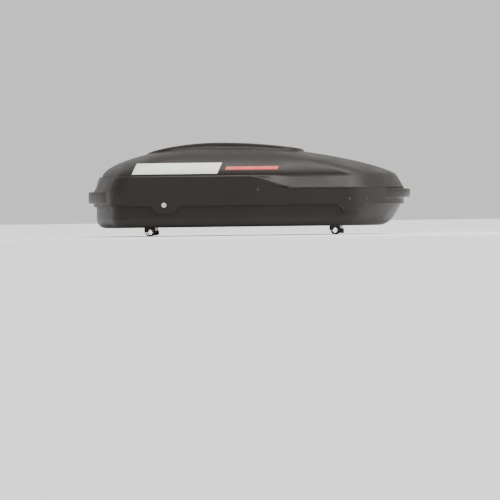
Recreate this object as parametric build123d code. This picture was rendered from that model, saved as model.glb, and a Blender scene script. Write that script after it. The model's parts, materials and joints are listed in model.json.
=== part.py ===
"""Roof cargo box: a domed lid over a tray, side opening, clamped to two round crossbars.

Millimetres. +X is forward, +Y is the hinge side, +Z is up. Heights in this file are counted
from the underside of the tray; everything is lifted by base_lift when it is written, so that
the origin is at the middle of the box, level with the bottom of the four clamp jaws.
"""

from build123d import *
from dataclasses import dataclass
import math
import os

os.makedirs("parts", exist_ok=True)

# ---- Overall sizes ----
box_width = 960.0  # over the lid skirt
rear_reach = 774.0  # origin to the rear wall of the lid
front_reach = 768.0  # origin to the nose wall of the lid
lip_reach = 800.0  # origin to the edge of the lip at either end
rear_bow = 1040.0  # plan radii of the two ends and of their corners
front_bow = 610.0
rear_corner = 110.0
front_corner = 154.0

# ---- Lid ----
lid_wall = 4.0
seam_z = 105.0  # lower edge of the lid skirt
belt_bend_z = 188.0  # the rear wall leans and the front ledge slopes above this
belt_top_z = 250.0  # top of the skirt wall along the rear half
belt_lean = 28.0  # how far the rear wall leans in by belt_top_z
ledge_width = 50.0  # width of the sloping ledge round the front
belt_drop_start = 0.0  # the belt edge falls from rear to front height between these
belt_drop_end = 230.0
rear_lip_bow = 780.0  # plan radius of each lip
front_lip_bow = 488.0
lip_start = 655.0  # the lips lie beyond this, towards each end
lip_top_z = 180.0
rear_lip_z = 123.0  # underside of each lip
front_lip_z = 137.0
dome_height = 151.0  # dome crest above the belt edge
dome_crest_x = -130.0
dome_shelf = 13.0  # flat strip between the belt edge and the root of the dome
dome_front_overlap = 14.0  # how far the dome's root covers the inner edge of the ledge
dome_side_overlap = 2.0  # the same on each side of the front half
dome_roundness = 0.62  # corner radius as a share of the half width, at the crest
dome_rear_power = 0.57  # how full each profile of the dome is: a smaller power is fuller
dome_front_power = 0.76
dome_front_bend = 1.75
dome_side_power = 0.6
dome_side_bend = 3.0
dome_levels = (0.0, 0.16, 0.34, 0.52, 0.68, 0.82, 0.9, 0.95)
crown_rise = 17.0  # raised centre panel of the dome, above the dome's crest
crown_crest_x = -160.0
crown_half = 205.0
crown_rear = 500.0  # plan of the panel
crown_front = 270.0
crown_bow = 420.0
crown_corner = 120.0
crown_rear_radius = 1300.0
crown_front_radius = 2600.0

# ---- Latch tabs on the skirt ----
tab_drop = 37.0  # how far a tab hangs below the seam
rear_tab_x = -411.0
front_tab_x = 504.0
tab_top_width = 150.0
tab_bottom_width = 86.0

# ---- Tray ----
tray_wall = 4.0
tray_gap = 10.0  # between the inside of the skirt and the outside of the tray
rim_rise = 23.0  # tray rim above the seam
bilge_z = 45.0  # the rounded bottom starts below this
bilge_inset = 46.0
nose_rake = 62.0  # how much shorter the tray floor is than its rim at the front
pocket_depth = 36.0  # recess in the tray wall behind each latch tab
pocket_drop = 29.0  # how far the recess reaches below the seam
pocket_half = 56.0
bilge_steps = 4
seal_lip = 1.7
seal_grip = 10.0
seal_bulb = 4.0

# ---- Hinges ----
hinge_places = (-430.0, -20.0, 380.0)
hinge_length = 90.0
knuckle_count = 5
knuckle_gap = 0.4
knuckle_side_gap = 1.1  # from a knuckle to the lid skirt and to the tray wall
hinge_pin_radius = 1.95
running = 0.05  # radial clearance of a pin in its bore
hinge_sheet = 1.8
lid_leaf_height = 44.0
tray_leaf_height = 40.0
moving_gap = 0.4  # between pieces that move past each other
hinge_rivet_offset = 30.0
hinge_rivet_rise = 30.0
hinge_rivet_drop = 26.0

# ---- Rivets ----
rivet_radius = 2.4
rivet_head_radius = 6.0
rivet_head_height = 2.0
rivet_tail_radius = 3.8
rivet_tail_height = 1.5
front_low_rivets = (489.0, 576.0)  # places along X of the latch bracket's rivets
front_high_rivets = (525.0, 559.0)
low_rivet_z = 131.0
high_rivet_z = 210.0
middle_rivet_z = 180.0

# ---- Lock and latch bar ----
lock_offset = -8.0  # key centre forward of the middle of the rear tab
lock_rise = 5.0  # key centre above the seam
lock_radius = 11.5
lock_front = 2.5  # how far the cylinder face stands out of the tab
lock_length = 30.5
bezel_radius = 16.0
bezel_sheet = 3.0
bezel_tube_wall = 2.0
bezel_tube_length = 22.0
nut_flats = 34.0
nut_height = 4.0
cam_sheet = 3.0
cam_radius = 17.0  # crank radius of the cam pin
cam_pin_radius = 3.0
cam_pin_proud = 0.6
cam_hub_radius = 9.0
cam_screw_radius = 2.0
cam_screw_length = 8.0
cam_screw_head = 4.5
cam_screw_height = 2.0
key_width = 2.4
key_height = 9.0
key_depth = 3.0
cam_start_angle = 135.0  # cam pin direction when unlocked, seen from the hinge side
slot_clearance = 0.9
bar_sheet = 3.0
bar_gap = 3.0  # between the cam and the latch bar
bar_height = 12.0
bar_rise = 40.0  # underside of the latch bar above the seam
bar_travel = 24.0
claw_width = 56.0
claw_drop = 20.0  # lower end of each claw below the seam
stud_drop = 7.0  # centre of each stud below the seam
stud_radius = 4.0
stud_head_radius = 7.0
stud_head_height = 2.5
stud_head_gap = 1.0
striker_sheet = 2.0
striker_half = 22.0
striker_half_height = 14.0
striker_rivet_offset = 14.0
rear_stud_offset = 31.0  # each stud forward of the middle of its tab
front_stud_offset = 21.0
claw_clearance = 1.5
bracket_sheet = 2.0
rear_bracket_reach = (-59.0, 86.0)  # along X from the middle of the rear tab
rear_bracket_rise = (0.0, 95.0)  # lower and upper edges above the seam
lock_tongue_reach = (-41.0, 25.0)  # the rear plate's tongue behind the lock
lock_tongue_rise = (-21.0, 1.0)
front_bracket_reach = (-99.0, 86.0)  # along X from the middle of the front tab
front_bracket_rise = (13.0, 119.0)
middle_bracket_reach = (-25.0, 25.0)  # along X from the middle guide
middle_bracket_rise = (33.0, 95.0)
rear_guide_offset = 71.0
front_guide_offset = -86.0
guide_width = 20.0
guide_gap = 1.0
middle_guide_x = 40.0

# ---- Lid stiffeners and struts ----
rear_hoop_x = -380.0
front_hoop_x = 200.0
hoop_width = 28.0
hoop_sheet = 2.5
hoop_depth = 10.0
hoop_foot_z = 200.0
strut_low_inset = 230.0  # each end of a strut, in from the lid skirt on the hinge side
strut_high_inset = 150.0
strut_low_z = 45.0
strut_high_z = 318.0
strut_plate = 4.0
strut_plate_width = 34.0
strut_pin_radius = 4.0
strut_eye_radius = 8.5
strut_eye_width = 21.2
strut_tube_radius = 9.0
strut_tube_start = 16.0
strut_tube_end = 206.0
strut_rod_radius = 5.0
strut_rod_length = 245.0
strut_bore_start = 24.0
strut_neck_radius = 6.0

# ---- Crossbar clamps ----
bar_radius = 14.4  # a 28.6 mm round crossbar with 0.1 mm to spare
rear_bar_x = -495.0
front_bar_x = 425.0
clamp_inset = 180.0  # clamps and floor rails, in from the lid skirt
clamp_names = ("rear_right", "rear_left", "front_right", "front_left")
clamp_width = 44.0
saddle_half = 24.0
saddle_wall = 2.1  # in front of the pad
jaw_gap = 0.7
jaw_boss_depth = 14.0
saddle_web = 6.0
pad_thickness = 3.0
jaw_thickness = 5.6
jaw_width = 30.0
clamp_stud_offset = 30.0
clamp_stud_radius = 4.0
stud_hole_clearance = 0.6
jaw_boss = 9.0
rail_sheet = 2.5
rail_width = 56.0
rail_flange = 6.0
rail_rear = -600.0
rail_front = 540.0
clamp_plate = 4.0
clamp_plate_length = 90.0
knob_radius = 26.0
knob_height = 22.0
knob_lobes = 6
knob_bore_top = 4.0
knob_rest_gap = 0.3

# ---- Side stripes ----
stripe_thickness = 0.4
stripe_rear = -575.0
stripe_front = -132.0
stripe_bottom_z = 262.0
stripe_top_z = 316.0
stripe_lean = 0.45  # how far the stripe ends lean forward for each unit of height
pinstripe_front = 146.0
pinstripe_rise = 18.0  # above the lower edge of the wide stripe
pinstripe_height = 16.0
pinstripe_gap = 14.0

knuckle_radius = tray_gap / 2 - knuckle_side_gap
saddle_front = bar_radius + pad_thickness + saddle_wall
dome_crest_z = belt_top_z + dome_height
dome_rear = rear_reach - belt_lean - dome_shelf
dome_front = front_reach - ledge_width + dome_front_overlap
dome_rear_half = box_width / 2 - dome_shelf
dome_front_half = box_width / 2 - ledge_width + dome_side_overlap
crown_crest_z = dome_crest_z + crown_rise
tab_bottom_z = seam_z - tab_drop
rim_z = seam_z + rim_rise
pocket_bottom_z = seam_z - pocket_drop
lock_z = seam_z + lock_rise
bar_bottom_z = seam_z + bar_rise
claw_bottom_z = seam_z - claw_drop
stud_z = seam_z - stud_drop
rear_stud_x = rear_tab_x + rear_stud_offset
front_stud_x = front_tab_x + front_stud_offset
lock_x = rear_tab_x + lock_offset
rear_guide_x = rear_tab_x + rear_guide_offset
front_guide_x = front_tab_x + front_guide_offset
half_width = box_width / 2
skirt_inner = half_width - lid_wall
tray_inset = lid_wall + tray_gap
tray_half = half_width - tray_inset
clamp_bar_z = -(saddle_web + pad_thickness + bar_radius)
base_lift = -(clamp_bar_z - bar_radius - jaw_thickness)
hinge_y = (skirt_inner + tray_half) / 2
hinge_z = seam_z - 1.0
bezel_tube_radius = lock_radius + running + bezel_tube_wall
cam_y = -half_width - lock_front + lock_length
bar_y = cam_y + cam_sheet + bar_gap
strut_low_y = half_width - strut_low_inset
strut_high_y = half_width - strut_high_inset
clamp_y = half_width - clamp_inset
clamp_places = [(x, y) for x in (rear_bar_x, front_bar_x) for y in (-clamp_y, clamp_y)]
tall = 1000.0  # longer than anything in the box, for cutting tools


def write(name, shape):
    export_step(shape.moved(Location((0, 0, base_lift))), f"parts/{name}.step")


def box(x0, x1, y0, y1, z0, z1):
    solid = Solid.make_box(x1 - x0, y1 - y0, z1 - z0)
    return Part() + solid.moved(Location((x0, y0, z0)))


def rod(start, direction, radius, length):
    """A cylinder from start, along direction."""
    return Part() + Solid.make_cylinder(radius, length, Plane(origin=start, z_dir=direction))


def prism(face, height):
    """A plan face pulled straight up."""
    return Part() + Solid.extrude(face, Vector(0, 0, height))


def side_slab(edges, start_y, end_y):
    """A closed side view outline, drawn in (x, z), pulled along Y."""
    wire = Wire([Edge(edge.wrapped) for edge in edges])
    upright = Face(wire.rotate(Axis.X, 90).translate((0, start_y, 0)))
    return Part() + Solid.extrude(upright, Vector(0, end_y - start_y, 0))


def side_polygon(points, start_y, end_y):
    corners = points + points[:1]
    edges = [Line(a, b) for a, b in zip(corners, corners[1:])]
    return side_slab(edges, start_y, end_y)


@dataclass
class Plan:
    """One level's plan outline: bowed ends and round corners, all tangent to each other."""

    rear: float
    front: float
    half_rear: float
    half_front: float
    rear_bow: float
    front_bow: float
    rear_corner: float
    front_corner: float

    def corner_centres(self):
        rear_y = self.half_rear - self.rear_corner
        front_y = self.half_front - self.front_corner
        rear_run = math.sqrt((self.rear_bow - self.rear_corner) ** 2 - rear_y**2)
        front_run = math.sqrt((self.front_bow - self.front_corner) ** 2 - front_y**2)
        rear_x = self.rear_bow - self.rear - rear_run
        front_x = self.front - self.front_bow + front_run
        return Vector(rear_x, rear_y), Vector(front_x, front_y)

    def face(self, z, inset=0.0):
        rear_centre, front_centre = self.corner_centres()
        rear_bow_centre = Vector(self.rear_bow - self.rear, 0)
        front_bow_centre = Vector(self.front - self.front_bow, 0)
        between = front_centre - rear_centre
        spread = (self.rear_corner - self.front_corner) / between.length
        side = math.atan2(between.Y, between.X) + math.acos(spread)
        to_rear = rear_centre - rear_bow_centre
        to_front = front_centre - front_bow_centre
        rear_angle = math.atan2(to_rear.Y, to_rear.X)
        front_angle = math.atan2(to_front.Y, to_front.X)

        def arc(centre, radius, start, end):
            points = []
            for angle in (start, (start + end) / 2, end):
                reach = Vector(math.cos(angle), math.sin(angle)) * (radius - inset)
                points.append(Vector(centre.X + reach.X, centre.Y + reach.Y, z))
            return ThreePointArc(*points)

        mirrored_rear = Vector(rear_centre.X, -rear_centre.Y)
        mirrored_front = Vector(front_centre.X, -front_centre.Y)
        nose = arc(front_bow_centre, self.front_bow, -front_angle, front_angle)
        left_front = arc(front_centre, self.front_corner, front_angle, side)
        left_rear = arc(rear_centre, self.rear_corner, side, rear_angle)
        tail = arc(rear_bow_centre, self.rear_bow, rear_angle, 2 * math.pi - rear_angle)
        right_rear = arc(mirrored_rear, self.rear_corner, -rear_angle, -side)
        right_front = arc(mirrored_front, self.front_corner, -side, -front_angle)
        left_side = Line(left_front @ 1, left_rear @ 0)
        right_side = Line(right_rear @ 1, right_front @ 0)
        edges = [nose, left_front, left_side, left_rear, tail, right_rear, right_side, right_front]
        return Face(Wire([Edge(edge.wrapped) for edge in edges]))

    def side_point(self, x, inset=0.0):
        """The outline's point at x on the -Y side, and its outward direction."""
        rear_centre, front_centre = self.corner_centres()
        centre, radius = front_centre, self.front_corner
        if x <= front_centre.X:
            return Vector(x, -(self.half_front - inset)), Vector(0, -1)
        rise = math.sqrt(radius**2 - (x - centre.X) ** 2)
        outward = Vector(x - centre.X, -rise) / radius
        point = Vector(centre.X, -centre.Y) + outward * (radius - inset)
        return point, outward


def moved_ends(plan, rear, front, inset=0.0):
    """The same outline with its ends moved out, and drawn in by inset all round."""
    return Plan(
        plan.rear + rear - inset,
        plan.front + front - inset,
        plan.half_rear - inset,
        plan.half_front - inset,
        plan.rear_bow - inset,
        plan.front_bow - inset,
        plan.rear_corner - inset,
        plan.front_corner - inset,
    )


skirt_plan = Plan(
    rear_reach,
    front_reach,
    half_width,
    half_width,
    rear_bow,
    front_bow,
    rear_corner,
    front_corner,
)


def dome_plan(level):
    """The dome's outline at a share of its height."""
    rear_span = math.sqrt(1 - level ** (1 / dome_rear_power))
    front_span = (1 - level ** (1 / dome_front_power)) ** (1 / dome_front_bend)
    side_span = (1 - level ** (1 / dome_side_power)) ** (1 / dome_side_bend)
    rear_share = rear_corner / dome_rear_half
    front_share = front_corner / dome_front_half
    half_rear = dome_rear_half * side_span
    half_front = dome_front_half * side_span
    return Plan(
        -dome_crest_x + (dome_rear + dome_crest_x) * rear_span,
        dome_crest_x + (dome_front - dome_crest_x) * front_span,
        half_rear,
        half_front,
        (rear_bow - belt_lean) * side_span,
        (front_bow - ledge_width) * side_span,
        half_rear * (rear_share + (dome_roundness - rear_share) * level),
        half_front * (front_share + (dome_roundness - front_share) * level),
    )


def dome_body(inset):
    sections = []
    for level in dome_levels:
        z = belt_top_z + (dome_crest_z - belt_top_z) * level - inset * level
        sections.append(dome_plan(level).face(z, inset * (1 + 0.3 * level)))
    root = dome_plan(0).face(belt_top_z - ledge_width / 2, inset)
    foot = prism(root, ledge_width / 2)
    return foot + loft(sections)


def crown_body(inset):
    """The raised centre panel: two arcs in side view, held inside a rounded plan."""
    crest = Vector(crown_crest_x, crown_crest_z - inset)
    bottom = dome_crest_z - (crown_crest_z - dome_crest_z) * 4
    half = crown_half - inset
    rear_drop = crest.Y - bottom
    rear_run = math.sqrt(crown_rear_radius**2 - (crown_rear_radius - rear_drop) ** 2)
    front_run = math.sqrt(crown_front_radius**2 - (crown_front_radius - rear_drop) ** 2)
    rear_end = (crest.X - rear_run, bottom)
    front_end = (crest.X + front_run, bottom)
    rear_arc = RadiusArc(rear_end, (crest.X, crest.Y), crown_rear_radius)
    front_arc = RadiusArc((crest.X, crest.Y), front_end, crown_front_radius)
    panel = side_slab([rear_arc, front_arc, Line(front_end, rear_end)], -half, half)
    ends = (crown_rear - inset, crown_front - inset)
    plan = Plan(*ends, half, half, crown_bow, crown_bow, crown_corner, crown_corner)
    return panel & prism(plan.face(bottom - 1), tall / 2)


def belt_body(inset, bottom_z):
    """The skirt wall with its sloping ledge, and the lip at each end."""
    body = prism(skirt_plan.face(bottom_z, inset), belt_bend_z - bottom_z)
    for start_z, bow_x, bow_radius, x0, x1 in (
        (rear_lip_z, rear_lip_bow - lip_reach, rear_lip_bow, -tall, -lip_start),
        (front_lip_z, lip_reach - front_lip_bow, front_lip_bow, lip_start, tall),
    ):
        height = lip_top_z - start_z - 2 * inset
        disc = rod((bow_x, 0, start_z + inset), (0, 0, 1), bow_radius - inset, height)
        body += disc & box(x0, x1, -tall, tall, 0, tall)
    leaning = moved_ends(skirt_plan, -belt_lean, -belt_lean)
    ledge = moved_ends(skirt_plan, 0, 0, ledge_width)
    top_z = belt_top_z - inset
    foot = skirt_plan.face(belt_bend_z, inset)
    rear_wall = loft([foot, leaning.face(top_z, inset)], ruled=True)
    nose_slope = loft([foot, ledge.face(top_z, inset)], ruled=True)
    shoulder = (belt_drop_start - inset, top_z)
    end = (belt_drop_end - inset, belt_bend_z)
    outline = [
        Line((-tall, top_z), shoulder),
        Spline(shoulder, end, tangents=[(1, 0), (1, -0.05)]),
        Line(end, (-tall, belt_bend_z)),
        Line((-tall, belt_bend_z), (-tall, top_z)),
    ]
    rear_wall &= side_slab(outline, -tall, tall)
    return body + (rear_wall + nose_slope)


def lid_body(inset, bottom_z=seam_z):
    return belt_body(inset, bottom_z) + dome_body(inset) + crown_body(inset)


def tab_shapes():
    """The two tongues of the skirt that hang over the tray."""
    ring = prism(skirt_plan.face(tab_bottom_z), seam_z - tab_bottom_z + 1)
    ring -= prism(skirt_plan.face(tab_bottom_z - 1, lid_wall), seam_z - tab_bottom_z + 3)
    tabs = []
    for x in (rear_tab_x, front_tab_x):
        outline = [
            (x - tab_top_width / 2, seam_z + 1),
            (x + tab_top_width / 2, seam_z + 1),
            (x + tab_bottom_width / 2, tab_bottom_z),
            (x - tab_bottom_width / 2, tab_bottom_z),
        ]
        tabs.append(ring & side_polygon(outline, -tall, 0))
    return tabs


def tray_plan(z):
    """The tray's nose rakes back below the seam."""
    rake = nose_rake * max(0.0, 1 - z / seam_z)
    return moved_ends(skirt_plan, 0, -rake)


def pocket_cut(shape, grow):
    """Takes the recess behind each latch tab out of a tray shape."""
    for x in (rear_tab_x, front_tab_x):
        reach = pocket_half + grow
        back_y = pocket_depth + grow - tray_half
        shape -= box(x - reach, x + reach, -tall, back_y, pocket_bottom_z - grow, tall)
    return shape


def tray_body(inset, top_z):
    """The rounded bottom, the raked wall and the upright rim, one on the other."""
    sections = []
    for step in range(bilge_steps + 1):
        turn = math.pi / 2 * step / bilge_steps
        z = inset + (bilge_z - inset) * (1 - math.cos(turn))
        drawn_in = tray_inset + inset + bilge_inset * (1 - math.sin(turn))
        sections.append(tray_plan(z).face(z, drawn_in))
    body = loft(sections)
    wall_inset = tray_inset + inset
    wall = [tray_plan(z).face(z, wall_inset) for z in (bilge_z, seam_z)]
    body += loft(wall, ruled=True)
    body += prism(skirt_plan.face(seam_z, wall_inset), top_z - seam_z)
    return pocket_cut(body, inset)


def rim_ring(outer, inner, z0, z1):
    """A band that follows the tray's rim and its pockets, between two insets of the rim."""
    band = pocket_cut(prism(skirt_plan.face(z0, tray_inset + outer), z1 - z0), outer)
    return band - pocket_cut(prism(skirt_plan.face(z0, tray_inset + inner), z1 - z0), inner)


def rim_seal():
    band = rim_ring(-seal_lip, tray_wall + seal_lip, rim_z - seal_grip, rim_z + seal_bulb)
    return band - rim_ring(0, tray_wall, rim_z - seal_grip, rim_z)


def rivet(point, outward, grip):
    """A blind rivet whose head sits on point."""
    start = Vector(*point)
    out = Vector(*outward).normalized()
    head = Solid.make_cone(
        rivet_head_radius, rivet_head_radius / 2, rivet_head_height, Plane(origin=start, z_dir=out)
    )
    shank = rod(start - out * grip, out, rivet_radius, grip)
    tail_start = start - out * (grip + rivet_tail_height)
    return shank + head + rod(tail_start, out, rivet_tail_radius, rivet_tail_height)


def group(shapes):
    """Separate solids that share one node."""
    return Compound([solid for shape in shapes for solid in shape.solids()])


def hinge_segments(place):
    length = hinge_length / knuckle_count
    for index in range(knuckle_count):
        start = place - hinge_length / 2 + index * length
        yield index % 2 == 1, start, length


def hinge_leaf(place, on_lid):
    """A sheet leaf with its share of the knuckles."""
    x0 = place - hinge_length / 2
    x1 = place + hinge_length / 2
    if on_lid:
        top = hinge_z + lid_leaf_height
        leaf = box(x0, x1, skirt_inner - hinge_sheet, skirt_inner, hinge_z, top)
    else:
        leaf = box(x0, x1, tray_half, tray_half + hinge_sheet, hinge_z - tray_leaf_height, hinge_z)
    along = (1, 0, 0)
    for lid_segment, start, length in hinge_segments(place):
        if lid_segment != on_lid:
            clearance = knuckle_radius + moving_gap
            origin = (start - knuckle_gap / 2, hinge_y, hinge_z)
            leaf -= rod(origin, along, clearance, length + knuckle_gap)
    for lid_segment, start, length in hinge_segments(place):
        if lid_segment == on_lid:
            centre = (start + knuckle_gap / 2, hinge_y, hinge_z)
            leaf += rod(centre, along, knuckle_radius, length - knuckle_gap)
    bore = hinge_pin_radius + (running if on_lid else 0)
    return leaf - rod((x0 - 1, hinge_y, hinge_z), along, bore, hinge_length + 2)


def hinge_rivets(on_lid):
    rivets = []
    for place in hinge_places:
        for side in (-1, 1):
            x = place + side * hinge_rivet_offset
            if on_lid:
                point = (x, half_width, hinge_z + hinge_rivet_rise)
                rivets.append(rivet(point, (0, 1, 0), lid_wall + hinge_sheet))
            else:
                point = (x, tray_half + hinge_sheet, hinge_z - hinge_rivet_drop)
                rivets.append(rivet(point, (0, 1, 0), tray_wall + hinge_sheet))
    return rivets


def ledge_point(x, z):
    """A point on the sloping ledge of the -Y side, and its outward direction."""
    drawn_in = ledge_width * (z - belt_bend_z) / (belt_top_z - belt_bend_z)
    point, outward = skirt_plan.side_point(x, drawn_in)
    rise = belt_top_z - belt_bend_z
    slope = math.hypot(rise, ledge_width)
    normal = Vector(outward.X * rise, outward.Y * rise, ledge_width) / slope
    return Vector(point.X, point.Y, z), normal, rise / slope


def latch_rivets():
    rivets = []
    grip = lid_wall + bracket_sheet
    for x in front_low_rivets:
        point, outward = skirt_plan.side_point(x)
        rivets.append(rivet((point.X, point.Y, low_rivet_z), (outward.X, outward.Y, 0), grip))
    for x in front_high_rivets:
        point, normal, share = ledge_point(x, high_rivet_z)
        rivets.append(rivet(point, normal, grip * share))
    return rivets


def guide_rivets():
    point = (middle_guide_x, -half_width, middle_rivet_z)
    return [rivet(point, (0, -1, 0), lid_wall + bracket_sheet)]


def bar_guide(x):
    """Two shelves and a web that hold the latch bar to its line."""
    outer_y = -skirt_inner + bracket_sheet
    web_y = bar_y + bar_sheet + guide_gap
    x0 = x - guide_width / 2
    x1 = x + guide_width / 2
    low = bar_bottom_z - guide_gap
    high = bar_bottom_z + bar_height + guide_gap
    guide = box(x0, x1, outer_y, web_y + bracket_sheet, low - bracket_sheet, low)
    guide += box(x0, x1, outer_y, web_y + bracket_sheet, high, high + bracket_sheet)
    return guide + box(x0, x1, web_y, web_y + bracket_sheet, low, high)


def plate_on(skin, x, reach, rise):
    """The part of a skin on the lock side, within these limits about x and the seam."""
    return skin & box(x + reach[0], x + reach[1], -tall, 0, seam_z + rise[0], seam_z + rise[1])


def lock_bezel():
    bezel = rod((lock_x, -half_width, lock_z), (0, -1, 0), bezel_radius, bezel_sheet)
    bezel += rod((lock_x, -half_width, lock_z), (0, 1, 0), bezel_tube_radius, bezel_tube_length)
    bore_start = -half_width - bezel_sheet - 1
    return bezel - rod((lock_x, bore_start, lock_z), (0, 1, 0), lock_radius + running, tall)


def lock_cylinder():
    front_y = -half_width - lock_front
    plug = rod((lock_x, front_y, lock_z), (0, 1, 0), lock_radius, lock_length)
    key_way = box(
        lock_x - key_width / 2,
        lock_x + key_width / 2,
        front_y - 1,
        front_y + key_depth,
        lock_z - key_height / 2,
        lock_z + key_height / 2,
    )
    screw_hole = rod((lock_x, cam_y - cam_screw_length, lock_z), (0, 1, 0), cam_screw_radius, tall)
    return plug - key_way - screw_hole


def lock_nut():
    plane = Plane(origin=(lock_x, -skirt_inner + bracket_sheet, lock_z), z_dir=(0, 1, 0))
    hexagon = extrude(plane * RegularPolygon(nut_flats / math.sqrt(3), 6), nut_height)
    start = (lock_x, -half_width, lock_z)
    return hexagon - rod(start, (0, 1, 0), bezel_tube_radius, bezel_tube_length)


def lock_cam():
    """The crank on the tail of the lock; its pin drives the latch bar."""
    turn = math.radians(cam_start_angle)
    pin_x = lock_x + cam_radius * math.cos(turn)
    pin_z = lock_z + cam_radius * math.sin(turn)
    cam = rod((lock_x, cam_y, lock_z), (0, 1, 0), cam_hub_radius, cam_sheet)
    cam += rod((pin_x, cam_y, pin_z), (0, 1, 0), cam_pin_radius + cam_sheet / 2, cam_sheet)
    across = Vector(-math.sin(turn), 0, math.cos(turn)) * cam_pin_radius
    hub = Vector(lock_x, cam_y, lock_z)
    pin = Vector(pin_x, cam_y, pin_z)
    corners = [hub + across, pin + across, pin - across, hub - across]
    arm = side_polygon([(corner.X, corner.Z) for corner in corners], cam_y, cam_y + cam_sheet)
    cam += arm
    pin_length = cam_sheet + bar_gap + bar_sheet + cam_pin_proud
    cam += rod((pin_x, cam_y, pin_z), (0, 1, 0), cam_pin_radius, pin_length)
    return cam - rod((lock_x, cam_y - 1, lock_z), (0, 1, 0), cam_screw_radius, cam_sheet + 2)


def cam_screw():
    start = (lock_x, cam_y - cam_screw_length, lock_z)
    screw = rod(start, (0, 1, 0), cam_screw_radius, cam_screw_length + cam_sheet)
    head_start = (lock_x, cam_y + cam_sheet, lock_z)
    return screw + rod(head_start, (0, 1, 0), cam_screw_head, cam_screw_height)


def claw_plate(stud_x):
    """One hanging plate of the latch bar; it slides forward onto the striker stud."""
    front = stud_x - stud_radius - claw_clearance
    rear = front - claw_width
    plate = box(rear, front, bar_y, bar_y + bar_sheet, claw_bottom_z, bar_bottom_z + 1)
    room = stud_radius + slot_clearance
    mouth = stud_x - bar_travel - room
    return plate - box(mouth, front + 1, -tall, tall, stud_z - room, stud_z + room)


def latch_bar():
    """The sliding bar that joins both claws, and the slot that the cam pin works in."""
    rear_end = rear_stud_x - stud_radius - claw_clearance - claw_width
    front_end = front_stud_x - stud_radius - claw_clearance
    top = bar_bottom_z + bar_height
    bar = box(rear_end, front_end, bar_y, bar_y + bar_sheet, bar_bottom_z, top)
    bar += claw_plate(rear_stud_x)
    bar += claw_plate(front_stud_x)
    turn = math.radians(cam_start_angle)
    pin_x = lock_x + cam_radius * math.cos(turn)
    low_pin_z = lock_z + cam_radius * math.sin(turn)
    room = cam_pin_radius + slot_clearance
    high = lock_z + cam_radius + room
    return bar - box(pin_x - room, pin_x + room, -tall, tall, low_pin_z - room, high)


def striker(stud_x):
    """A headed stud on a plate on the back wall of the pocket."""
    wall_y = pocket_depth - tray_half
    face_y = wall_y - striker_sheet
    plate = box(
        stud_x - striker_half,
        stud_x + striker_half,
        face_y,
        wall_y,
        stud_z - striker_half_height,
        stud_z + striker_half_height,
    )
    head_y = bar_y - stud_head_gap
    plate += rod((stud_x, wall_y, stud_z), (0, -1, 0), stud_radius, wall_y - head_y)
    return plate + rod((stud_x, head_y, stud_z), (0, -1, 0), stud_head_radius, stud_head_height)


def striker_rivets():
    rivets = []
    face_y = pocket_depth - tray_half - striker_sheet
    for stud_x in (rear_stud_x, front_stud_x):
        for side in (-1, 1):
            point = (stud_x + side * striker_rivet_offset, face_y, stud_z)
            rivets.append(rivet(point, (0, -1, 0), tray_wall + striker_sheet))
    return rivets


def hoop(x, skin, liner, inner):
    """A pressed channel that follows the inside of the lid from one side to the other."""
    x0 = x - hoop_width / 2
    x1 = x + hoop_width / 2
    band = (skin - inner) & box(x0, x1, -tall, tall, hoop_foot_z, tall)
    return band - (liner & box(x0 + hoop_sheet, x1 - hoop_sheet, -tall, tall, 0, tall))


def strut_line():
    """The closed strut's lower end, its direction and its length, as (y, z) vectors."""
    low = Vector(0, strut_low_y, strut_low_z)
    high = Vector(0, strut_high_y, strut_high_z)
    span = high - low
    return low, span.normalized(), span.length


def strut_foot(hoop_x):
    x0 = hoop_x + hoop_width / 2
    x1 = x0 + strut_plate
    side = strut_plate_width / 2
    top = strut_low_z + strut_eye_radius
    foot = box(x0, x1, strut_low_y - side, strut_low_y + side, tray_wall, top)
    floor_top = tray_wall + strut_plate
    rear_x = x0 - strut_plate_width
    foot += box(rear_x, x1, strut_low_y - side, strut_low_y + side, tray_wall, floor_top)
    pin_length = 2 * moving_gap + strut_eye_width
    foot += rod((x1, strut_low_y, strut_low_z), (1, 0, 0), strut_pin_radius, pin_length)
    head_x = x1 + pin_length
    return foot + rod((head_x, strut_low_y, strut_low_z), (1, 0, 0), strut_eye_radius, strut_plate)


def strut_hanger(hoop_x, skin):
    x0 = hoop_x + hoop_width / 2
    side = strut_plate_width / 2
    bottom = strut_high_z - strut_eye_radius
    plate = box(x0, x0 + strut_plate, strut_high_y - side, strut_high_y + side, bottom, tall)
    return plate & skin


def strut_tube(hoop_x):
    low, along, _ = strut_line()
    eye_x = hoop_x + hoop_width / 2 + strut_plate + moving_gap
    centre_x = eye_x + strut_eye_width / 2
    origin = Vector(centre_x, low.Y, low.Z)
    tube_length = strut_tube_end - strut_tube_start
    tube = rod(origin + along * strut_tube_start, along, strut_tube_radius, tube_length)
    tube += rod(origin, along, strut_neck_radius, strut_tube_start + 1)
    tube += rod((eye_x, low.Y, low.Z), (1, 0, 0), strut_eye_radius, strut_eye_width)
    pin_bore = strut_pin_radius + running
    tube -= rod((eye_x - 1, low.Y, low.Z), (1, 0, 0), pin_bore, strut_eye_width + 2)
    bore = strut_rod_radius + running
    return tube - rod(origin + along * strut_bore_start, along, bore, strut_tube_end)


def strut_rod(hoop_x):
    low, along, length = strut_line()
    eye_x = hoop_x + hoop_width / 2 + strut_plate + moving_gap
    origin = Vector(eye_x + strut_eye_width / 2, low.Y, low.Z)
    tail = origin + along * (length - strut_rod_length)
    shaft = rod(tail, along, strut_rod_radius, strut_rod_length)
    high = origin + along * length
    return shaft + rod((eye_x, high.Y, high.Z), (1, 0, 0), strut_eye_radius, strut_eye_width)


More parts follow.
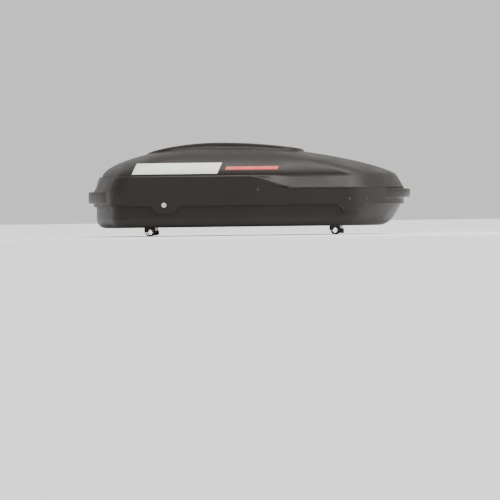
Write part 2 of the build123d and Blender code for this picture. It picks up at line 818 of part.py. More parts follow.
def floor_rail(y):
    """A shallow steel channel along the tray floor; the clamp studs pass through it."""
    side = rail_width / 2
    rail = box(rail_rear, rail_front, y - side, y + side, tray_wall, tray_wall + rail_flange)
    top = tray_wall + rail_sheet
    room = side - rail_sheet
    return rail - box(rail_rear - 1, rail_front + 1, y - room, y + room, top, tall)


def clamp_stud_holes():
    holes = []
    for x, y in clamp_places:
        start = (x + clamp_stud_offset, y, -tall / 2)
        holes.append(rod(start, (0, 0, 1), clamp_stud_radius + stud_hole_clearance, tall))
    return holes


def clamp_saddle(x, y):
    """The block under the tray that sits on the crossbar."""
    side = clamp_width / 2
    block = box(x - saddle_half, x + saddle_front, y - side, y + side, clamp_bar_z, 0)
    along = (0, 1, 0)
    start = (x, y - side - 1, clamp_bar_z)
    return block - rod(start, along, bar_radius + pad_thickness, clamp_width + 2)


def clamp_pad(x, y):
    side = clamp_width / 2
    start = (x, y - side, clamp_bar_z)
    ring = rod(start, (0, 1, 0), bar_radius + pad_thickness, clamp_width)
    ring -= rod(start, (0, 1, 0), bar_radius, clamp_width)
    return ring & box(x - tall, x + tall, -tall, tall, clamp_bar_z + jaw_gap, 0)


def clamp_plate_piece(x, y):
    side = rail_width / 2 - rail_sheet - stud_hole_clearance
    centre = x + clamp_stud_offset
    base = tray_wall + rail_sheet
    half = clamp_plate_length / 2
    return box(centre - half, centre + half, y - side, y + side, base, base + clamp_plate)


def clamp_jaw(x, y):
    """The claw that hooks under the crossbar, with a boss for its stud."""
    side = jaw_width / 2
    start = (x, y - side, clamp_bar_z)
    outer = bar_radius + jaw_thickness
    top = clamp_bar_z - jaw_gap
    claw = rod(start, (0, 1, 0), outer, jaw_width)
    claw &= box(x - outer, x + outer, -tall, tall, clamp_bar_z - outer, top)
    boss_end = x + clamp_stud_offset + jaw_boss
    claw += box(x, boss_end, y - side, y + side, clamp_bar_z - jaw_boss_depth, top)
    boss_start = x + saddle_front + jaw_gap
    claw += box(boss_start, boss_end, y - side, y + side, top - 1, clamp_bar_z + jaw_boss)
    return claw - rod(start, (0, 1, 0), bar_radius, jaw_width) - clamp_stud(x, y)


def clamp_stud(x, y):
    bottom = clamp_bar_z - jaw_boss_depth
    top = tray_wall + rail_sheet + clamp_plate + knob_rest_gap + knob_height - 2 * knob_bore_top
    return rod((x + clamp_stud_offset, y, bottom), (0, 0, 1), clamp_stud_radius, top - bottom)


def clamp_knob(x, y):
    """A lobed hand knob with a blind thread."""
    base = tray_wall + rail_sheet + clamp_plate + knob_rest_gap
    centre = Vector(x + clamp_stud_offset, y, base)
    lobe_radius = knob_radius / 4
    knob = rod(centre, (0, 0, 1), knob_radius - 1.5 * lobe_radius, knob_height)
    for index in range(knob_lobes):
        turn = 2 * math.pi * index / knob_lobes
        offset = Vector(math.cos(turn), math.sin(turn), 0) * (knob_radius - lobe_radius)
        knob += rod(centre + offset, (0, 0, 1), lobe_radius, knob_height)
    return knob - rod(centre, (0, 0, 1), clamp_stud_radius + running, knob_height - knob_bore_top)


def stripe(side, rear_x, front_x, bottom_z, top_z):
    """A thin painted band on the slope of the dome, with the same slant at both ends."""
    run = stripe_lean * (top_z - bottom_z)
    band = [
        (rear_x + run, top_z),
        (front_x, top_z),
        (front_x - run, bottom_z),
        (rear_x, bottom_z),
    ]
    half = side_polygon(band, 0, tall) if side > 0 else side_polygon(band, -tall, 0)
    return stripe_film & half


# ---- Lid and everything fixed to it ----
lid_inner = lid_body(lid_wall, seam_z - 2)
lid = lid_body(0) - lid_inner
for tab in tab_shapes():
    lid += tab

bracket_skin = lid_inner - lid_body(lid_wall + bracket_sheet, seam_z - 4)
tongue_top = seam_z + lock_tongue_rise[1] - tab_bottom_z
tab_skin = prism(skirt_plan.face(tab_bottom_z, lid_wall), tongue_top)
tab_skin -= prism(skirt_plan.face(tab_bottom_z, lid_wall + bracket_sheet), tongue_top)
rear_latch_bracket = plate_on(bracket_skin, rear_tab_x, rear_bracket_reach, rear_bracket_rise)
rear_latch_bracket += bar_guide(rear_guide_x)
rear_latch_bracket += plate_on(tab_skin, rear_tab_x, lock_tongue_reach, lock_tongue_rise)
front_latch_bracket = plate_on(bracket_skin, front_tab_x, front_bracket_reach, front_bracket_rise)
front_latch_bracket += bar_guide(front_guide_x)
middle_guide = plate_on(bracket_skin, middle_guide_x, middle_bracket_reach, middle_bracket_rise)
middle_guide += bar_guide(middle_guide_x)

lock_hole = rod((lock_x, -half_width - 1, lock_z), (0, 1, 0), bezel_tube_radius, bezel_tube_length)
lid -= lock_hole
rear_latch_bracket -= lock_hole
for fastener in latch_rivets():
    lid -= fastener
    front_latch_bracket -= fastener
for fastener in guide_rivets():
    lid -= fastener
    middle_guide -= fastener

hinge_lid_leaves = [hinge_leaf(place, True) for place in hinge_places]
for fastener in hinge_rivets(True):
    lid -= fastener
    hinge_lid_leaves = [leaf - fastener for leaf in hinge_lid_leaves]

write("lid", lid)
write("rear_latch_bracket", rear_latch_bracket)
write("front_latch_bracket", front_latch_bracket)
write("middle_guide", middle_guide)
write("latch_rivets", group(latch_rivets() + guide_rivets()))
write("hinge_lid_leaves", group(hinge_lid_leaves))
write("hinge_lid_rivets", group(hinge_rivets(True)))
write("lock_bezel", lock_bezel())
write("lock_nut", lock_nut())
write("lock_cylinder", lock_cylinder())
write("lock_cam", lock_cam())
write("cam_screw", cam_screw())
write("latch_bar", latch_bar())

hoop_liner = lid_body(lid_wall + hoop_sheet, seam_z - 4)
hoop_inner = lid_body(lid_wall + hoop_depth, seam_z - 4)
for name, hoop_x in (("rear", rear_hoop_x), ("front", front_hoop_x)):
    write(f"{name}_hoop", hoop(hoop_x, lid_inner, hoop_liner, hoop_inner))
    write(f"{name}_strut_hanger", strut_hanger(hoop_x, lid_inner))
    write(f"{name}_strut_foot", strut_foot(hoop_x))
    write(f"{name}_strut_tube", strut_tube(hoop_x))
    write(f"{name}_strut_rod", strut_rod(hoop_x))

stripe_film = dome_body(-stripe_thickness) - dome_body(0)
for name, side in (("right", -1), ("left", 1)):
    wide = stripe(side, stripe_rear, stripe_front, stripe_bottom_z, stripe_top_z)
    pin_bottom = stripe_bottom_z + pinstripe_rise
    pin_top = pin_bottom + pinstripe_height
    narrow = stripe(side, stripe_front + pinstripe_gap, pinstripe_front, pin_bottom, pin_top)
    write(f"stripe_{name}", wide)
    write(f"pinstripe_{name}", narrow)

# ---- Tray and everything fixed to it ----
tray = tray_body(0, rim_z) - tray_body(tray_wall, rim_z + 1)
hinge_tray_leaves = [hinge_leaf(place, False) for place in hinge_places]
for fastener in hinge_rivets(False):
    tray -= fastener
    hinge_tray_leaves = [leaf - fastener for leaf in hinge_tray_leaves]
strikers = {"rear": striker(rear_stud_x), "front": striker(front_stud_x)}
for fastener in striker_rivets():
    tray -= fastener
    strikers = {name: piece - fastener for name, piece in strikers.items()}
rails = {"right": floor_rail(-clamp_y), "left": floor_rail(clamp_y)}
plates = [clamp_plate_piece(x, y) for x, y in clamp_places]
for hole in clamp_stud_holes():
    tray -= hole
    rails = {name: rail - hole for name, rail in rails.items()}
    plates = [plate - hole for plate in plates]

hinge_pins = []
for place in hinge_places:
    start = (place - hinge_length / 2, hinge_y, hinge_z)
    hinge_pins.append(rod(start, (1, 0, 0), hinge_pin_radius, hinge_length))

write("tray", tray)
write("rim_seal", rim_seal())
write("hinge_tray_leaves", group(hinge_tray_leaves))
write("hinge_tray_rivets", group(hinge_rivets(False)))
write("hinge_pins", group(hinge_pins))
for name, piece in strikers.items():
    write(f"{name}_striker", piece)
write("striker_rivets", group(striker_rivets()))
for name, rail in rails.items():
    write(f"floor_rail_{name}", rail)
write("clamp_plates", group(plates))
write("clamp_saddles", group([clamp_saddle(x, y) for x, y in clamp_places]))
write("clamp_pads", group([clamp_pad(x, y) for x, y in clamp_places]))
for name, (x, y) in zip(clamp_names, clamp_places):
    write(f"clamp_jaw_{name}", clamp_jaw(x, y))
    write(f"clamp_stud_{name}", clamp_stud(x, y))
    write(f"clamp_knob_{name}", clamp_knob(x, y))
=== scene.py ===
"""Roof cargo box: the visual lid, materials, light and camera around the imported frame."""

import json
import math

import bpy
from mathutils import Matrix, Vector
from mathutils.bvhtree import BVHTree


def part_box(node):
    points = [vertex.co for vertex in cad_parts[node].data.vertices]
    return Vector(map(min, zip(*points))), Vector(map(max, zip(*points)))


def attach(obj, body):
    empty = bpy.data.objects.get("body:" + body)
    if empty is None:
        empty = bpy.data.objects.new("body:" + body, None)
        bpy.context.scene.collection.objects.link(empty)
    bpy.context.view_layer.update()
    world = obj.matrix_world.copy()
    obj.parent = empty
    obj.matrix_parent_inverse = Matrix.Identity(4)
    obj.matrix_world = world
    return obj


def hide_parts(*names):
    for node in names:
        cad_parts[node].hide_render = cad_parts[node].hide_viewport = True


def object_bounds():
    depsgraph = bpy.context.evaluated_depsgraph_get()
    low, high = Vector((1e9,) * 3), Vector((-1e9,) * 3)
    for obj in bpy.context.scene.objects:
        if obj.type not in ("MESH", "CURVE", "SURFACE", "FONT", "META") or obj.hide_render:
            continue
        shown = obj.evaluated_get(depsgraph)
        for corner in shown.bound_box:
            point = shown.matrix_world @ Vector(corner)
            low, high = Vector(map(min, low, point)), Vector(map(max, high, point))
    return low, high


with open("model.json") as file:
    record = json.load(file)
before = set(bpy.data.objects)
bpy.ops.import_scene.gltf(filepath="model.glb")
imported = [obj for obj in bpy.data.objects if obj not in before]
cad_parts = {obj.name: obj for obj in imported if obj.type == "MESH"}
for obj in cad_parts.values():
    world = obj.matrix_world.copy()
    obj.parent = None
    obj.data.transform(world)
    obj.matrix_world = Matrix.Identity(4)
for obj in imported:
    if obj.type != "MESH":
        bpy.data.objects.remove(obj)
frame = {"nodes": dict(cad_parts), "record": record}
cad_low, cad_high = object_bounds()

# ---- Sizes of the shell, in metres ----
_, lid_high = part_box("lid")
tray_low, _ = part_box("tray")
base_z = tray_low.z
half_width = 0.480
rear_reach = 0.774
front_reach = 0.768
rear_bow = 1.040
front_bow = 0.610
rear_corner = 0.110
front_corner = 0.154
lip_reach = lid_high.x
seam_z = base_z + 0.105
bend_z = base_z + 0.188
belt_top_z = base_z + 0.250
belt_lean = 0.028
belt_drop_start = -0.010
belt_drop_end = 0.230
belt_corner_radius = 0.007
rear_lean_start = 0.45
rear_lean_end = 0.70
scoop_depth = 0.006
lip_top_z = base_z + 0.180
rear_lip_z = base_z + 0.123
front_lip_z = base_z + 0.137
rear_lip_bow = 0.780
front_lip_bow = 0.488
lip_start = 0.655
lip_fade_start = lip_start - 0.05
lip_fade_end = lip_start + 0.02
lip_round = 0.004
tab_z = base_z + 0.068
tab_places = (-0.411, 0.504)
tab_top_half = 0.075
tab_bottom_half = 0.043
dome_crest_x = -0.130
dome_crest_z = base_z + 0.401
dome_rear = 0.733
dome_front = 0.732
dome_rear_half = 0.467
dome_front_half = 0.432
dome_rear_power = 0.57
dome_front_power = 0.76
dome_front_bulge = 1.75
dome_side_power = 0.6
dome_side_bulge = 3
dome_roundness = 0.62
ledge_width = 0.050
crown_crest_x = -0.160
crown_crest_z = base_z + 0.418
crown_half = 0.205
crown_rear_radius = 1.300
crown_front_radius = 2.600
crown_droop = 0.001
crown_rear = 0.500
crown_front = 0.270
crown_bow = 0.42
crown_corner = 0.12
crown_middle_x = -0.07
crown_sink = 0.0006
crown_foot_depth = 0.002
sheet = 0.0036
light_colour = (1.0, 0.99, 0.975, 1)
floor_half = 60.0
camera_distance = 30.0
camera_height = 0.10
aim_drop = 0.117
frame_width = 2.488
camera_roll = -0.7

# Rows of the dome, from its root to just under the raised panel, as shares of its rear length.
dome_spans = (
    (1.0, 0.9985, 0.996, 0.992, 0.986, 0.978, 0.968, 0.955, 0.94, 0.92, 0.90, 0.875, 0.85)
    + (0.82, 0.79, 0.755, 0.72, 0.68, 0.64, 0.595, 0.55, 0.50, 0.45, 0.40, 0.35, 0.30)
)

# The panel's edge, as pairs of inset from its outline and share of its full rise.
crown_steps = (
    ((-0.015, 0.0), (-0.011, 0.025), (-0.008, 0.10), (-0.0055, 0.26), (-0.0035, 0.50))
    + ((-0.0015, 0.76), (0.0005, 0.92), (0.003, 0.985), (0.006, 1.0), (0.012, 1.0))
    + ((0.03, 1.0), (0.06, 1.0), (0.10, 1.0))
)
crown_shrinks = (0.8, 0.6, 0.4, 0.2)


# ---- Plan outlines: two bows, four corners, two sides, all tangent ----
def plan(rear, front, half_rear, half_front, bows, corners):
    """Everything that a plan outline is drawn from."""
    return {
        "rear": rear,
        "front": front,
        "half": (half_rear, half_front),
        "bow": bows,
        "corner": corners,
    }


def plan_points(shape, counts, inset=0.0):
    """(x, y, outward x, outward y) along the outline, with the same count on every stretch."""
    rear_bow_x = shape["bow"][0] - shape["rear"]
    front_bow_x = shape["front"] - shape["bow"][1]
    rear_y = shape["half"][0] - shape["corner"][0]
    front_y = shape["half"][1] - shape["corner"][1]
    rear_run = math.sqrt((shape["bow"][0] - shape["corner"][0]) ** 2 - rear_y**2)
    front_run = math.sqrt((shape["bow"][1] - shape["corner"][1]) ** 2 - front_y**2)
    rear_c = (rear_bow_x - rear_run, rear_y)
    front_c = (front_bow_x + front_run, front_y)
    dx, dy = front_c[0] - rear_c[0], front_c[1] - rear_c[1]
    spread = (shape["corner"][0] - shape["corner"][1]) / math.hypot(dx, dy)
    side = math.atan2(dy, dx) + math.acos(spread)
    rear_turn = math.atan2(rear_y, -rear_run)
    front_turn = math.atan2(front_y, front_run)
    arcs = (
        ((front_bow_x, 0), shape["bow"][1], -front_turn, front_turn, counts["nose"]),
        (front_c, shape["corner"][1], front_turn, side, counts["corner"]),
        None,
        (rear_c, shape["corner"][0], side, rear_turn, counts["corner"]),
        ((rear_bow_x, 0), shape["bow"][0], rear_turn, 2 * math.pi - rear_turn, counts["tail"]),
        ((rear_c[0], -rear_c[1]), shape["corner"][0], -rear_turn, -side, counts["corner"]),
        None,
        ((front_c[0], -front_c[1]), shape["corner"][1], -side, -front_turn, counts["corner"]),
    )
    runs = []
    for arc in arcs:
        if arc is None:
            runs.append(None)
            continue
        centre, radius, start, end, count = arc
        run = []
        reach = radius - inset
        turns = [start + (end - start) * index / count for index in range(count)]
        for turn in (*turns, end):
            nx, ny = math.cos(turn), math.sin(turn)
            run.append((centre[0] + nx * reach, centre[1] + ny * reach, nx, ny))
        runs.append(run)
    points = []
    for number, run in enumerate(runs):
        if run is not None:
            points += run[:-1]
            continue
        a, b = runs[number - 1][-1], runs[number + 1][0]
        for index in range(counts["side"]):
            share = index / counts["side"]
            points.append(tuple(p + (q - p) * share for p, q in zip(a, b)))
    return points


skirt = plan(
    rear_reach,
    front_reach,
    half_width,
    half_width,
    (rear_bow, front_bow),
    (rear_corner, front_corner),
)
lid_counts = {"nose": 148, "corner": 26, "side": 176, "tail": 138}


def dome_plan(span):
    """The dome's outline where its rear half length is this share of the root's."""
    level = max(1 - span**2, 0.0) ** dome_rear_power
    front_span = max(1 - level ** (1 / dome_front_power), 0) ** (1 / dome_front_bulge)
    side_span = max(1 - level ** (1 / dome_side_power), 0) ** (1 / dome_side_bulge)
    shares = (rear_corner / dome_rear_half, front_corner / dome_front_half)
    halves = (dome_rear_half * side_span, dome_front_half * side_span)
    corners = tuple(
        half * (share + (dome_roundness - share) * level) for half, share in zip(halves, shares)
    )
    bows = ((rear_bow - belt_lean) * side_span, (front_bow - ledge_width) * side_span)
    rear = -dome_crest_x + (dome_rear + dome_crest_x) * span
    front = dome_crest_x + (dome_front - dome_crest_x) * front_span
    z = belt_top_z + (dome_crest_z - belt_top_z) * level
    return plan(rear, front, halves[0], halves[1], bows, corners), z


def smooth(value, low, high):
    """0 below low, 1 above high, and an S curve between."""
    share = min(max((value - low) / (high - low), 0.0), 1.0)
    return share * share * (3 - 2 * share)


def rounded(previous, corner, following, radius, steps):
    """Points of a rounded corner between two straight stretches."""
    a = (previous - corner).normalized() * min(radius, (previous - corner).length * 0.49)
    b = (following - corner).normalized() * min(radius, (following - corner).length * 0.49)
    points = []
    for index in range(steps + 1):
        t = index / steps
        points.append(corner + a * (1 - t) ** 2 + b * t**2)
    return points


def lip_reach_out(x, y, nx, ny):
    """How far the lip's disc stands out of the skirt along the outward direction."""
    if abs(x) < lip_fade_start:
        return 0.0
    if x < 0:
        centre_x, radius = rear_lip_bow - lip_reach, rear_lip_bow
    else:
        centre_x, radius = lip_reach - front_lip_bow, front_lip_bow
    px = x - centre_x
    along = px * nx + y * ny
    reach = -along + math.sqrt(max(along * along - (px * px + y * y - radius * radius), 0.0))
    fade = smooth(abs(x), lip_fade_start, lip_fade_end)
    return max(reach, 0.0) * fade


def skirt_bottom(x, y):
    """The lower edge of the skirt, with the two tongues on the lock side."""
    if y > 0:
        return seam_z
    z = seam_z
    for place in tab_places:
        share = (tab_top_half - abs(x - place)) / (tab_top_half - tab_bottom_half)
        share = min(max(share, 0.0), 1.0)
        z -= (seam_z - tab_z) * share
    return z


def belt_edge(x):
    """Height of the belt's upper edge: high at the rear, low round the nose."""
    return belt_top_z - (belt_top_z - bend_z) * smooth(x, belt_drop_start, belt_drop_end)


def lid_profile(column, root):
    """The lid's wall at one column, from the lower edge of the skirt to the root of the dome."""
    x, y, nx, ny = column
    rear_share = smooth(-x, rear_lean_start, rear_lean_end)
    bottom = skirt_bottom(x, y)
    out = lip_reach_out(x, y, nx, ny)
    low_lip = rear_lip_z if x < 0 else front_lip_z
    edge = belt_edge(x)
    edge_share = min(max((edge - bend_z) / (belt_top_z - bend_z), 0), 1)
    lean = belt_lean * rear_share * abs(nx) * edge_share

    def at(offset, z):
        return Vector((x + nx * offset, y + ny * offset, z))

    points = [at(-0.0034, bottom + 0.0022), at(-0.0014, bottom), at(0.0006, bottom + 0.0016)]
    points += [at(0.0008, bottom + 0.005), at(0.0, bottom + 0.0075)]
    wall_low = low_lip - 0.0015
    for index in range(1, 5):
        points.append(at(0.0, bottom + 0.0075 + (wall_low - bottom - 0.0075) * index / 4))
    r = min(lip_round, out * 0.5)
    lip = [
        at(max(out - r, 0) * 0.5, low_lip),
        at(max(out - r, 0), low_lip + 0.0004),
        at(out - 0.3 * r, low_lip + 0.3 * r + 0.0006),
        at(out, low_lip + r + 0.001),
        at(out, (low_lip + lip_top_z) / 2),
        at(out, lip_top_z - r - 0.001),
        at(out - 0.3 * r, lip_top_z - 0.3 * r - 0.0006),
        at(max(out - r, 0), lip_top_z - 0.0004),
        at(max(out - r, 0) * 0.5, lip_top_z),
    ]
    points += lip
    scoop = scoop_depth * rear_share * smooth(out, 0.0, 0.01)
    points.append(at(-scoop * 0.2, lip_top_z + 0.0015))
    top = at(-lean, edge)
    foot = at(0.0, bend_z - 0.004)
    points.append(at(-scoop * 0.4, bend_z - 0.003))
    for index in range(1, 5):
        share = index / 5
        inner = at(-scoop * (1 - share), bend_z - 0.003)
        points.append(inner + (top - foot) * share)
    root_point = Vector((root[0], root[1], belt_top_z))
    points += rounded(foot, top, root_point, belt_corner_radius, 5)
    for index in range(1, 5):
        points.append(top + (root_point - top) * (0.12 + 0.7 * index / 4))
    return points


def lid_rows():
    """Closed rows of points up the lid: the skirt and belt, then the dome."""
    columns = plan_points(skirt, lid_counts)
    root_plan, _ = dome_plan(1.0)
    roots = plan_points(root_plan, lid_counts)
    profiles = [lid_profile(column, root) for column, root in zip(columns, roots)]
    rows = [list(row) for row in zip(*profiles)]
    for span in dome_spans:
        shape, z = dome_plan(span)
        rows.append([Vector((p[0], p[1], z)) for p in plan_points(shape, lid_counts)])
    return rows


def lofted(name, rows, cap):
    """A skin through closed rows of points, with a last point at its middle."""
    mesh = bpy.data.meshes.new(name)
    count = len(rows[0])
    verts = [tuple(p) for row in rows for p in row]
    faces = []
    for r in range(len(rows) - 1):
        for c in range(count):
            d = (c + 1) % count
            low, high = r * count, (r + 1) * count
            faces.append((low + c, low + d, high + d, high + c))
    verts.append(tuple(cap))
    last = (len(rows) - 1) * count
    for c in range(count):
        faces.append((last + c, last + (c + 1) % count, len(verts) - 1))
    mesh.from_pydata(verts, [], faces)
    mesh.update()
    return mesh


def new_object(name, mesh, body):
    """A smooth-shaded piece that rides a body of the part."""
    piece = bpy.data.objects.new(name, mesh)
    bpy.context.scene.collection.objects.link(piece)
    for polygon in mesh.polygons:
        polygon.use_smooth = True
    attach(piece, body)
    return piece


def apply_modifiers(piece):
    bpy.context.view_layer.objects.active = piece
    for modifier in list(piece.modifiers):
        bpy.ops.object.modifier_apply(modifier=modifier.name)


def crown_height(x, y):
    """Top of the raised centre panel."""
    radius = crown_rear_radius if x < crown_crest_x else crown_front_radius
    drop = radius - math.sqrt(radius**2 - (x - crown_crest_x) ** 2)
    return crown_crest_z - drop - crown_droop * (y / crown_half) ** 2


def crown_mesh(dome):
    """The raised panel: a flared foot on the dome, a rounded shoulder and a gently arched top."""
    tree = BVHTree.FromPolygons([v.co for v in dome.vertices], [p.vertices for p in dome.polygons])

    def dome_z(x, y):
        hit = tree.ray_cast(Vector((x, y, 1.0)), Vector((0, 0, -1)))
        return hit[0].z

    counts = {"nose": 40, "corner": 30, "side": 90, "tail": 40}
    bows = (crown_bow, crown_bow)
    corners = (crown_corner, crown_corner)
    outline = plan(crown_rear, crown_front, crown_half, crown_half, bows, corners)
    rows = []
    for inset, share in crown_steps:
        row = []
        for x, y, _, _ in plan_points(outline, counts, inset):
            base = dome_z(x, y) - crown_sink
            rise = max(crown_height(x, y) - base, 0.0)
            row.append(Vector((x, y, base + rise * share)))
        rows.append(row)
    inner = rows[-1]
    middle = Vector((crown_middle_x, 0, 0))
    for shrink in crown_shrinks:
        row = []
        for p in inner:
            x = middle.x + (p.x - middle.x) * shrink
            y = p.y * shrink
            row.append(Vector((x, y, max(crown_height(x, y), dome_z(x, y) - crown_sink))))
        rows.append(row)
    cap = Vector((middle.x, 0, crown_height(middle.x, 0)))
    under = [Vector((p.x, p.y, p.z - crown_foot_depth)) for p in rows[0]]
    rows.insert(0, under)
    return lofted("crown", rows, cap)


def build_lid():
    """The lid's shell, thickened inwards, and the raised panel on it."""
    rows = lid_rows()
    mesh = lofted("lid_shell", rows, Vector((dome_crest_x, 0, dome_crest_z)))
    crown = crown_mesh(mesh)
    piece = new_object("lid_shell", mesh, "lid")
    thicken = piece.modifiers.new("wall", "SOLIDIFY")
    thicken.thickness = sheet
    thicken.offset = -1
    thicken.use_even_offset = False
    apply_modifiers(piece)
    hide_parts("lid")
    panel = new_object("lid_crown", crown, "lid")
    return piece, panel


# ---- Materials ----
def node_material(name):
    """A material with its node tree and its surface shader."""
    material = bpy.data.materials.new(name)
    material.use_nodes = True
    tree = material.node_tree
    return material, tree, tree.nodes["Principled BSDF"]


def noise(tree, scale, detail=4.0, rough=0.5):
    """Noise in the object's own coordinates."""
    place = tree.nodes.new("ShaderNodeTexCoord")
    texture = tree.nodes.new("ShaderNodeTexNoise")
    texture.inputs["Scale"].default_value = scale
    texture.inputs["Detail"].default_value = detail
    texture.inputs["Roughness"].default_value = rough
    tree.links.new(place.outputs["Object"], texture.inputs["Vector"])
    return texture


def ramp(tree, source, stops):
    """A colour ramp over a texture's value; stops are (place, colour)."""
    node = tree.nodes.new("ShaderNodeValToRGB")
    elements = node.color_ramp.elements
    while len(elements) < len(stops):
        elements.new(0.5)
    for element, (place, colour) in zip(elements, stops):
        element.position = place
        element.color = (*colour, 1.0)
    tree.links.new(source, node.inputs["Fac"])
    return node


def grey(value):
    """The same value in all three channels."""
    return (value, value, value)


def bump(tree, shader, source, strength, distance, under=None):
    """A bump on the shader, over the one under it if there is one."""
    node = tree.nodes.new("ShaderNodeBump")
    node.inputs["Strength"].default_value = strength
    node.inputs["Distance"].default_value = distance
    tree.links.new(source, node.inputs["Height"])
    if under is not None:
        tree.links.new(under.outputs["Normal"], node.inputs["Normal"])
    tree.links.new(node.outputs["Normal"], shader.inputs["Normal"])
    return node


def grained_plastic(
    name, dark, light, rough_low, rough_high, grain_scale, grain, dust=0.0, sheen_level=0.45
):
    """Moulded plastic: leathery grain, patchy sheen, colour drift and a little dust."""
    material, tree, shader = node_material(name)
    drift = noise(tree, 3.0, 6.0, 0.6)
    colour = ramp(tree, drift.outputs["Fac"], ((0.3, dark), (0.7, light)))
    patches = noise(tree, 9.0, 5.0, 0.65)
    sheen = ramp(tree, patches.outputs["Fac"], ((0.35, grey(rough_low)), (0.68, grey(rough_high))))
    tree.links.new(sheen.outputs["Color"], shader.inputs["Roughness"])
    cells = tree.nodes.new("ShaderNodeTexVoronoi")
    cells.inputs["Scale"].default_value = grain_scale
    place = tree.nodes.new("ShaderNodeTexCoord")
    tree.links.new(place.outputs["Object"], cells.inputs["Vector"])
    waves = noise(tree, 14.0, 3.0, 0.5)
    under = bump(tree, shader, waves.outputs["Fac"], 0.25, 0.0012)
    bump(tree, shader, cells.outputs["Distance"], grain, 0.0008, under)
    surface = colour.outputs["Color"]
    if dust:
        geometry = tree.nodes.new("ShaderNodeNewGeometry")
        split = tree.nodes.new("ShaderNodeSeparateXYZ")
        tree.links.new(geometry.outputs["Normal"], split.inputs["Vector"])
        specks = noise(tree, 60.0, 8.0, 0.75)
        amount = tree.nodes.new("ShaderNodeMath")
        amount.operation = "MULTIPLY"
        up = ramp(tree, split.outputs["Z"], ((0.45, grey(0.0)), (1.0, grey(dust))))
        fleck = ramp(tree, specks.outputs["Fac"], ((0.42, grey(0.1)), (0.70, grey(1.0))))
        tree.links.new(up.outputs["Color"], amount.inputs[0])
        tree.links.new(fleck.outputs["Color"], amount.inputs[1])
        mix = tree.nodes.new("ShaderNodeMix")
        mix.data_type = "RGBA"
        tree.links.new(amount.outputs[0], mix.inputs["Factor"])
        tree.links.new(surface, mix.inputs["A"])
        mix.inputs["B"].default_value = (0.20, 0.18, 0.165, 1.0)
        surface = mix.outputs["Result"]
    tree.links.new(surface, shader.inputs["Base Color"])
    shader.inputs["Specular IOR Level"].default_value = sheen_level
    shader.inputs["Specular Tint"].default_value = (1.0, 0.93, 0.88, 1.0)
    return material


def metal(name, dark, light, rough_low, rough_high, brushed):
    """Plated or bare metal with fine streaks and stains."""
    material, tree, shader = node_material(name)
    shader.inputs["Metallic"].default_value = 1.0
    stains = noise(tree, 70.0, 6.0, 0.6)
    colour = ramp(tree, stains.outputs["Fac"], ((0.3, dark), (0.7, light)))
    tree.links.new(colour.outputs["Color"], shader.inputs["Base Color"])
    worn = noise(tree, 220.0, 5.0, 0.7)
    sheen = ramp(tree, worn.outputs["Fac"], ((0.3, grey(rough_low)), (0.75, grey(rough_high))))
    tree.links.new(sheen.outputs["Color"], shader.inputs["Roughness"])
    streaks = noise(tree, brushed, 3.0, 0.6)
    bump(tree, shader, streaks.outputs["Fac"], 0.12, 0.0003)
    return material


def painted(name, colour, worn_colour, rough, chip):
    """Paint, coating or printed film, worn in small patches."""
    material, tree, shader = node_material(name)
    chips = noise(tree, 130.0, 8.0, 0.75)
    surface = ramp(tree, chips.outputs["Fac"], ((chip, colour), (chip + 0.05, worn_colour)))
    tree.links.new(surface.outputs["Color"], shader.inputs["Base Color"])
    patches = noise(tree, 25.0, 4.0, 0.6)
    sheen = ramp(tree, patches.outputs["Fac"], ((0.3, grey(rough)), (0.7, grey(rough + 0.15))))
    tree.links.new(sheen.outputs["Color"], shader.inputs["Roughness"])
    peel = noise(tree, 420.0, 2.0, 0.5)
    bump(tree, shader, peel.outputs["Fac"], 0.1, 0.0002)
    return material


def make_materials():
    """One material for each slot of the record."""
    return {
        "shell": grained_plastic(
            "shell_abs",
            (0.0095, 0.0075, 0.0062),
            (0.0135, 0.0110, 0.0094),
            0.36,
            0.50,
            650.0,
            0.35,
            dust=0.04,
            sheen_level=0.32,
        ),
        "hardware_plastic": grained_plastic(
            "nylon", (0.012, 0.012, 0.013), (0.022, 0.022, 0.024), 0.40, 0.58, 900.0, 0.25
        ),
        "rubber": grained_plastic(
            "seal_rubber", (0.009, 0.009, 0.009), (0.016, 0.016, 0.016), 0.68, 0.88, 1200.0, 0.2
        ),
        "zinc": metal("zinc_plate", (0.50, 0.49, 0.45), (0.68, 0.67, 0.64), 0.24, 0.46, 300.0),
        "bright_metal": metal("bright_plate", grey(0.72), grey(0.86), 0.10, 0.26, 500.0),
        "black_metal": painted("black_coat", grey(0.014), (0.09, 0.085, 0.08), 0.34, 0.68),
        "white_print": painted("white_film", (0.80, 0.80, 0.78), (0.56, 0.55, 0.53), 0.32, 0.66),
        "red_print": painted("red_film", (0.60, 0.028, 0.022), (0.38, 0.02, 0.018), 0.32, 0.66),
    }


def dress(materials):
    """Gives every CAD node the material of its slot."""
    for entry in frame["record"]["subparts"]:
        node = frame["nodes"][entry["node"]]
        node.data.materials.clear()
        node.data.materials.append(materials[entry["material_slot"]])


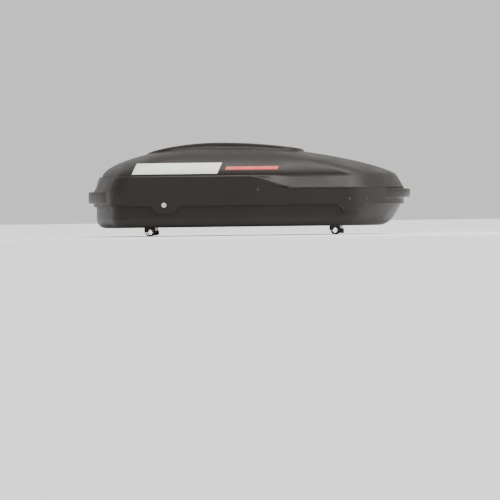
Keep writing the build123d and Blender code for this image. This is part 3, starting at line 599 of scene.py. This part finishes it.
# ---- Stage, light and camera ----
def add_floor():
    mesh = bpy.data.meshes.new("floor")
    corners = [(-1, -1), (1, -1), (1, 1), (-1, 1)]
    verts = [(x * floor_half, y * floor_half, 0) for x, y in corners]
    mesh.from_pydata(verts, [], [(0, 1, 2, 3)])
    floor = bpy.data.objects.new("floor", mesh)
    bpy.context.scene.collection.objects.link(floor)
    floor.location.z = cad_low.z
    material, _, shader = node_material("floor_paint")
    shader.inputs["Base Color"].default_value = (0.86, 0.86, 0.86, 1)
    shader.inputs["Roughness"].default_value = 0.75
    floor.data.materials.append(material)


def add_light(name, place, target, size, power):
    data = bpy.data.lights.new(name, "AREA")
    data.shape = "RECTANGLE"
    data.size, data.size_y = size
    data.energy = power
    light = bpy.data.objects.new(name, data)
    bpy.context.scene.collection.objects.link(light)
    light.location = place
    light.rotation_euler = (Vector(target) - Vector(place)).to_track_quat("-Z", "Y").to_euler()


def add_sun(name, direction, strength, spread):
    """A far, wide light, so that the floor is lit evenly."""
    data = bpy.data.lights.new(name, "SUN")
    data.energy = strength
    data.angle = math.radians(spread)
    light = bpy.data.objects.new(name, data)
    bpy.context.scene.collection.objects.link(light)
    light.rotation_euler = Vector(direction).to_track_quat("-Z", "Y").to_euler()


def add_lights():
    world = bpy.data.worlds.new("studio")
    world.use_nodes = True
    background = world.node_tree.nodes["Background"]
    background.inputs["Color"].default_value = light_colour
    background.inputs["Strength"].default_value = 0.85
    bpy.context.scene.world = world
    add_sun("sky_softbox", (-0.16, 0.16, -1.0), 3.2, 40.0)
    add_light("nose_softbox", (3.4, -1.6, 2.0), (0.5, 0.0, 0.25), (1.8, 1.4), 120.0)


def add_camera():
    """A very long lens, level with the box and tilted a little, as the car's roof is."""
    data = bpy.data.cameras.new("camera")
    camera = bpy.data.objects.new("camera", data)
    bpy.context.scene.collection.objects.link(camera)
    data.sensor_width = 36.0
    data.lens = data.sensor_width * camera_distance / frame_width
    data.clip_end = 200.0
    aim = Vector((0.0, 0.0, base_z - aim_drop))
    camera.location = (0.0, -camera_distance, camera_height)
    camera.rotation_euler = (aim - camera.location).to_track_quat("-Z", "Y").to_euler()
    camera.rotation_euler.rotate_axis("Z", math.radians(camera_roll))
    bpy.context.scene.camera = camera


materials = make_materials()
dress(materials)
for piece in build_lid():
    piece.data.materials.append(materials["shell"])
add_floor()
add_lights()
add_camera()
